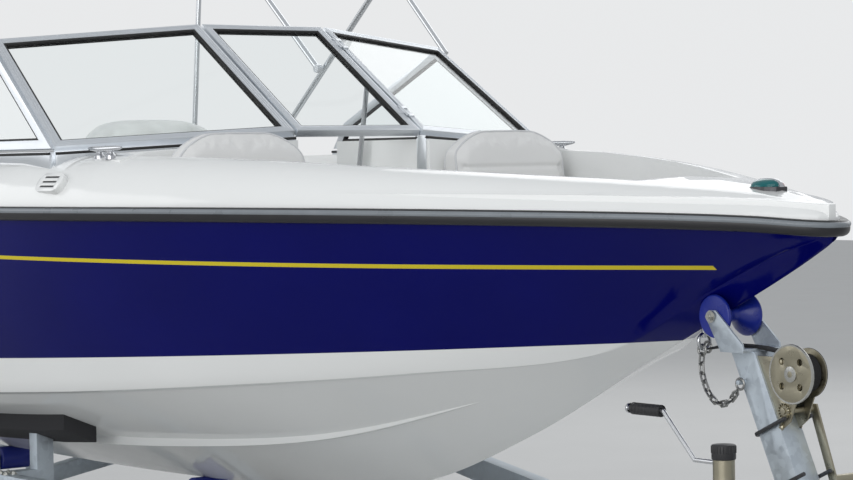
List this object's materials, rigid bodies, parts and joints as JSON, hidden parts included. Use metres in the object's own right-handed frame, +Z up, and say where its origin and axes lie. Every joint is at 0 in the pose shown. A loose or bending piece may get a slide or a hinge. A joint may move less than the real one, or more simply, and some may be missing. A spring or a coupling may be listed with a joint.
{
  "type": "speedboat",
  "caption": "Bowrider speedboat with a sterndrive, hinged screen window, engine lid and folding sun-top frame, parked on a single-axle trailer.",
  "frame": {"origin": "on the ground, at the middle of the whole object's length and breadth", "axes": "+X to the bow, +Y to port, +Z up"},
  "size_m": [6.91, 2.178, 2.778],
  "materials": {
    "hull_gelcoat": "painted in bands, glossy",
    "deck_gelcoat": "glossy",
    "rub_rail": "satin black",
    "window_frame": "anodised",
    "window_glass": "tinted",
    "upholstery": "soft vinyl",
    "dash": "satin",
    "black_plastic": "matt",
    "engine_paint": "satin",
    "stainless": "polished",
    "tube": "bright",
    "drive_paint": "gloss black",
    "ram_steel": "polished",
    "galvanised": "zinc grey",
    "roller_blue": "satin",
    "bunk_carpet": "rough carpet",
    "tyre": "matt",
    "rim": "silver",
    "mudguard": "matt",
    "webbing": "woven",
    "zinc": "zinc plated",
    "lamp_red": "glossy"
  },
  "bodies": {
    "boat_and_trailer": {"rub_rail": "rub_rail", "hull_shell": "hull_gelcoat", "deck_and_liner": "deck_gelcoat", "windshield_frame": "window_frame", "windshield_glass": "window_glass", "bow_seats": "upholstery", "helm_dash": "dash", "seat_boxes": "deck_gelcoat", "helm_seats": "upholstery", "stern_seat": "upholstery", "engine": "engine_paint", "swim_platform": "deck_gelcoat", "cleats": "stainless", "bow_light": "stainless", "horn_cover": "stainless", "bow_eye": "stainless", "walkthrough_pole": "stainless", "sun_top_mounts": "stainless", "transom_bracket": "drive_paint", "side_rails": "galvanised", "drawbar": "galvanised", "cross_members": "galvanised", "rollers": "roller_blue", "bunks": "bunk_carpet", "axle_and_springs": "galvanised", "mudguards": "mudguard", "winch_post": "galvanised", "winch": "zinc", "winch_strap": "webbing", "safety_chain": "zinc", "coupler": "zinc", "jack_tube": "galvanised", "jack_cap_and_grip": "black_plastic", "rear_lamps": "lamp_red"},
    "walkthrough_window_leaf": {"walkthrough_window": "window_frame", "walkthrough_glass": "window_glass"},
    "engine_lid": {"engine_hatch": "deck_gelcoat", "sun_pad": "upholstery"},
    "helm_wheel": {"steering_wheel": "black_plastic"},
    "drive_yoke": {"steering_yoke": "drive_paint"},
    "drive_leg": {"sterndrive_leg": "drive_paint"},
    "trim_ram_barrels": {"trim_barrels": "drive_paint"},
    "trim_ram_rods": {"trim_rods": "ram_steel"},
    "screw": {"propeller": "ram_steel"},
    "top_main_bow": {"sun_top_main_bow": "tube"},
    "top_rear_bow": {"sun_top_rear_bow": "tube"},
    "top_braces": {"sun_top_braces": "tube"},
    "top_rear_poles": {"sun_top_rear_poles": "tube"},
    "left_wheel": {"wheel_left": "rim", "tyre_left": "tyre"},
    "right_wheel": {"wheel_right": "rim", "tyre_right": "tyre"},
    "jack_inner": {"jack_leg": "galvanised"}
  },
  "joints": [
    {"name": "window_open", "type": "hinge", "parent": "boat_and_trailer", "child": "walkthrough_window_leaf", "pos_m": [0.52622, 0.235, 1.72455], "axis": [-0.8364, 0, 0.5482], "range_deg": [0, 150]},
    {"name": "engine_lid_open", "type": "hinge", "parent": "boat_and_trailer", "child": "engine_lid", "pos_m": [-2.635, 0, 1.588], "axis": [0, -1, 0], "range_deg": [0, 60]},
    {"name": "drive_steer", "type": "hinge", "parent": "boat_and_trailer", "child": "drive_yoke", "pos_m": [-2.815, 0, 0.92], "axis": [0, 0, 1], "range_deg": [-30, 30]},
    {"name": "wheel_steer", "type": "hinge", "parent": "boat_and_trailer", "child": "helm_wheel", "pos_m": [-0.14, -0.47, 1.45], "axis": [-0.8829, 0, 0.4695], "range_deg": [-541, 541]},
    {"name": "drive_tilt", "type": "hinge", "parent": "drive_yoke", "child": "drive_leg", "pos_m": [-2.905, 0, 0.92], "axis": [0, 1, 0], "range_deg": [0, 45]},
    {"name": "trim_barrel_swing", "type": "hinge", "parent": "drive_yoke", "child": "trim_ram_barrels", "pos_m": [-2.835, 0, 0.8], "axis": [0, 1, 0], "range_deg": [-0.5, 28.78]},
    {"name": "trim_rod_slide", "type": "slide", "parent": "trim_ram_barrels", "child": "trim_ram_rods", "axis": [-0.9615, 0, 0.2747], "range_m": [-0.0005, 0.05368]},
    {"name": "propeller_spin", "type": "hinge", "parent": "drive_leg", "child": "screw", "pos_m": [-3.345, 0, 0.34], "axis": [1, 0, 0], "continuous": true},
    {"name": "sun_top_fold", "type": "hinge", "parent": "boat_and_trailer", "child": "top_main_bow", "pos_m": [-1.295, 0, 1.69], "axis": [0, -1, 0], "range_deg": [0, 130.65]},
    {"name": "rear_bow_fold", "type": "hinge", "parent": "top_main_bow", "child": "top_rear_bow", "pos_m": [-0.94703, 0, 1.97534], "axis": [0, -1, 0], "range_deg": [-100.48, 0.5]},
    {"name": "brace_fold", "type": "hinge", "parent": "top_main_bow", "child": "top_braces", "pos_m": [-0.545, 0, 2.305], "axis": [0, -1, 0], "range_deg": [-0.5, 84.1]},
    {"name": "rear_pole_fold", "type": "hinge", "parent": "top_rear_bow", "child": "top_rear_poles", "pos_m": [-1.6941, 0, 2.6173], "axis": [0, -1, 0], "range_deg": [-0.5, 55.43]},
    {"name": "left_wheel_spin", "type": "hinge", "parent": "boat_and_trailer", "child": "left_wheel", "pos_m": [-1.115, 0.893, 0.295], "axis": [0, 1, 0], "continuous": true},
    {"name": "right_wheel_spin", "type": "hinge", "parent": "boat_and_trailer", "child": "right_wheel", "pos_m": [-1.115, -0.893, 0.295], "axis": [0, 1, 0], "continuous": true},
    {"name": "jack_height", "type": "slide", "parent": "boat_and_trailer", "child": "jack_inner", "axis": [0, 0, 1], "range_m": [-0.1, 0.2]}
  ],
  "couplings": [
    {"joint": "wheel_steer", "follows": "drive_steer", "ratio": -18},
    {"joint": "trim_barrel_swing", "follows": "drive_tilt", "ratio": 0.62849},
    {"joint": "trim_rod_slide", "follows": "drive_tilt", "m_per_rad": 0.067707},
    {"joint": "rear_bow_fold", "follows": "sun_top_fold", "ratio": -0.76523},
    {"joint": "brace_fold", "follows": "sun_top_fold", "ratio": 0.63991},
    {"joint": "rear_pole_fold", "follows": "sun_top_fold", "ratio": 0.42041}
  ]
}
